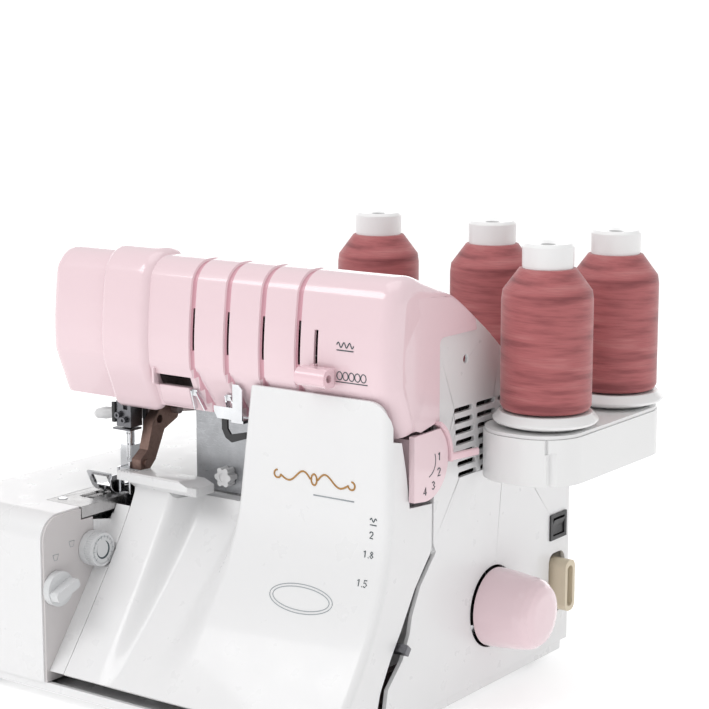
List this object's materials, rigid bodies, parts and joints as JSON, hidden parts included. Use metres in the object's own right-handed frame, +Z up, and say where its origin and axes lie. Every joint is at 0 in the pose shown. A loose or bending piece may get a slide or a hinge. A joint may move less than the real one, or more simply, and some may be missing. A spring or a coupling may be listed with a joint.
{
  "type": "serger overlock machine",
  "caption": "Overlock sewing machine with a pink slotted arm, white body, swing-down looper cover, stitch dials, side handwheel and a rear spool stand with wound spools.",
  "frame": {"origin": "centre of the whole machine in plan, on the table top under the rubber feet", "axes": "+X to the right as the operator sees it, +Y to the rear, +Z up"},
  "size_m": [0.4129, 0.3139, 0.3154],
  "materials": {
    "pink_cover": "glossy moulded",
    "light_pink": "glossy moulded",
    "white_cover": "satin moulded",
    "white_tray": "satin moulded",
    "grey_panel": "matt moulded",
    "white_dial": "satin, ribbed",
    "rubber": "matt",
    "panel_steel": "brushed",
    "bright_steel": "polished",
    "dark_steel": "ground, oiled",
    "feed_steel": "ground",
    "casting": "die cast",
    "motor_paint": "satin",
    "black_plastic": "satin",
    "tube_plastic": "satin",
    "inlet_plastic": "matt",
    "thread": "wound polyester thread",
    "spool_tube": "satin"
  },
  "bodies": {
    "machine": {"arm_cover": "pink_cover", "end_cover": "pink_cover", "take_up_cover": "pink_cover", "rear_housing": "white_cover", "bed_cover": "white_cover", "control_panel": "grey_panel", "base_pan": "white_cover", "rubber_feet": "rubber", "hinge_rod": "bright_steel", "throat_plate": "panel_steel", "cast_frame": "casting", "pivot_brackets": "casting", "drive_belts": "rubber", "motor": "motor_paint", "needle_plate": "panel_steel", "screws": "bright_steel", "lower_knife": "dark_steel", "threading_tubes": "tube_plastic", "letter_plate": "pink_cover", "switch_frame": "black_plastic", "inlet_block": "inlet_plastic", "thread_guides": "bright_steel", "arm_underside": "black_plastic", "spool_tray": "white_tray", "tray_lid": "white_tray", "spool_discs": "white_tray"},
    "main_drive": {"main_shaft": "bright_steel", "handwheel": "pink_cover"},
    "upper_drive": {"upper_shaft": "bright_steel"},
    "motor_rotor": {"motor_pulley": "bright_steel"},
    "needle_drive": {"needle_bar": "bright_steel", "needle_clamp": "dark_steel", "needle_screws": "dark_steel", "needles": "bright_steel"},
    "presser": {"presser_bar": "bright_steel"},
    "foot": {"presser_foot": "bright_steel"},
    "lifter": {"lifter_lever": "white_cover"},
    "main_feed": {"main_feed_dog": "feed_steel"},
    "differential_feed": {"differential_feed_dog": "feed_steel"},
    "knife": {"upper_knife": "bright_steel", "knife_arm": "casting"},
    "lower_looper_arm": {"lower_looper": "dark_steel"},
    "upper_looper_arm": {"upper_looper": "dark_steel"},
    "width_knob": {"width_dial": "white_dial"},
    "length_knob": {"length_dial": "white_dial"},
    "stitch_selector": {"stitch_lever": "light_pink"},
    "mode_tab": {"mode_slide": "light_pink"},
    "feed_ratio": {"feed_lever": "dark_steel"},
    "rocker": {"power_rocker": "black_plastic"},
    "jet_knob": {"threading_knob": "white_cover"},
    "cover": {"front_cover": "white_cover", "cloth_guide": "white_cover"},
    "spool_front": {"thread_front": "thread", "tube_front": "spool_tube"},
    "spool_right": {"thread_right": "thread", "tube_right": "spool_tube"},
    "spool_middle": {"thread_middle": "thread", "tube_middle": "spool_tube"},
    "spool_left": {"thread_left": "thread", "tube_left": "spool_tube"}
  },
  "joints": [
    {"name": "handwheel_turn", "type": "hinge", "parent": "machine", "child": "main_drive", "pos_m": [0.15, 0.0325, 0.064], "axis": [1, 0, 0], "continuous": true},
    {"name": "upper_shaft_turn", "type": "hinge", "parent": "machine", "child": "upper_drive", "pos_m": [0, -0.018, 0.232], "axis": [1, 0, 0], "continuous": true},
    {"name": "motor_turn", "type": "hinge", "parent": "machine", "child": "motor_rotor", "pos_m": [0.06, 0.092, 0.062], "axis": [1, 0, 0], "continuous": true},
    {"name": "needle_bar_slide", "type": "slide", "parent": "machine", "child": "needle_drive", "axis": [0, 0, 1], "range_m": [-0.025, 0.002]},
    {"name": "lifter_turn", "type": "hinge", "parent": "machine", "child": "lifter", "pos_m": [-0.132, -0.03, 0.177], "axis": [0, 1, 0], "range_deg": [0, 28]},
    {"name": "presser_bar_slide", "type": "slide", "parent": "machine", "child": "presser", "axis": [0, 0, 1], "range_m": [0, 0.006]},
    {"name": "foot_tilt", "type": "hinge", "parent": "presser", "child": "foot", "pos_m": [-0.122, -0.055, 0.14], "axis": [1, 0, 0], "range_deg": [-3.5, 0]},
    {"name": "main_feed_slide", "type": "slide", "parent": "machine", "child": "main_feed", "axis": [0, 1, 0], "range_m": [-0.0015, 0.0015]},
    {"name": "differential_feed_slide", "type": "slide", "parent": "machine", "child": "differential_feed", "axis": [0, 1, 0], "range_m": [-0.0015, 0.0015]},
    {"name": "knife_turn", "type": "hinge", "parent": "machine", "child": "knife", "pos_m": [-0.098, -0.034, 0.185], "axis": [1, 0, 0], "range_deg": [0, 8]},
    {"name": "lower_looper_turn", "type": "hinge", "parent": "machine", "child": "lower_looper_arm", "pos_m": [-0.092, -0.055, 0.06], "axis": [0, 1, 0], "range_deg": [0, 15]},
    {"name": "upper_looper_turn", "type": "hinge", "parent": "machine", "child": "upper_looper_arm", "pos_m": [-0.07, -0.046, 0.066], "axis": [0, 1, 0], "range_deg": [0, 15]},
    {"name": "width_dial_turn", "type": "hinge", "parent": "machine", "child": "width_knob", "pos_m": [-0.1, -0.11, 0.099], "axis": [1, 0, 0], "range_deg": [0, 270]},
    {"name": "length_dial_turn", "type": "hinge", "parent": "machine", "child": "length_knob", "pos_m": [-0.1, -0.145, 0.0785], "axis": [1, 0, 0], "range_deg": [0, 270]},
    {"name": "stitch_lever_turn", "type": "hinge", "parent": "machine", "child": "stitch_selector", "pos_m": [0.1315, -0.056, 0.181], "axis": [1, 0, 0], "range_deg": [-70, 0]},
    {"name": "mode_tab_slide", "type": "slide", "parent": "machine", "child": "mode_tab", "axis": [0, 0, 1], "range_m": [0, 0.02]},
    {"name": "feed_ratio_turn", "type": "hinge", "parent": "machine", "child": "feed_ratio", "pos_m": [0.118, -0.098, 0.03], "axis": [1, 0, 0], "range_deg": [-5, 3]},
    {"name": "rocker_turn", "type": "hinge", "parent": "machine", "child": "rocker", "pos_m": [0.1295, 0.1187, 0.1016], "axis": [0, 1, 0], "range_deg": [-14, 0]},
    {"name": "jet_knob_turn", "type": "hinge", "parent": "machine", "child": "jet_knob", "pos_m": [-0.0365, -0.046, 0.146], "axis": [0, 1, 0], "range_deg": [0, 90]},
    {"name": "front_cover_turn", "type": "hinge", "parent": "machine", "child": "cover", "pos_m": [0.02, -0.136, 0.029], "axis": [1, 0, 0], "range_deg": [0, 92]},
    {"name": "spool_front_lift", "type": "slide", "parent": "machine", "child": "spool_front", "axis": [0, 0, 1], "range_m": [0, 0.12]},
    {"name": "spool_right_lift", "type": "slide", "parent": "machine", "child": "spool_right", "axis": [0, 0, 1], "range_m": [0, 0.12]},
    {"name": "spool_middle_lift", "type": "slide", "parent": "machine", "child": "spool_middle", "axis": [0, 0, 1], "range_m": [0, 0.12]},
    {"name": "spool_left_lift", "type": "slide", "parent": "machine", "child": "spool_left", "axis": [0, 0, 1], "range_m": [0, 0.12]}
  ],
  "couplings": [
    {"joint": "upper_shaft_turn", "follows": "handwheel_turn", "ratio": 1},
    {"joint": "motor_turn", "follows": "handwheel_turn", "ratio": 2.75},
    {"joint": "lifter_turn", "follows": "presser_bar_slide", "rad_per_m": 81.44}
  ]
}
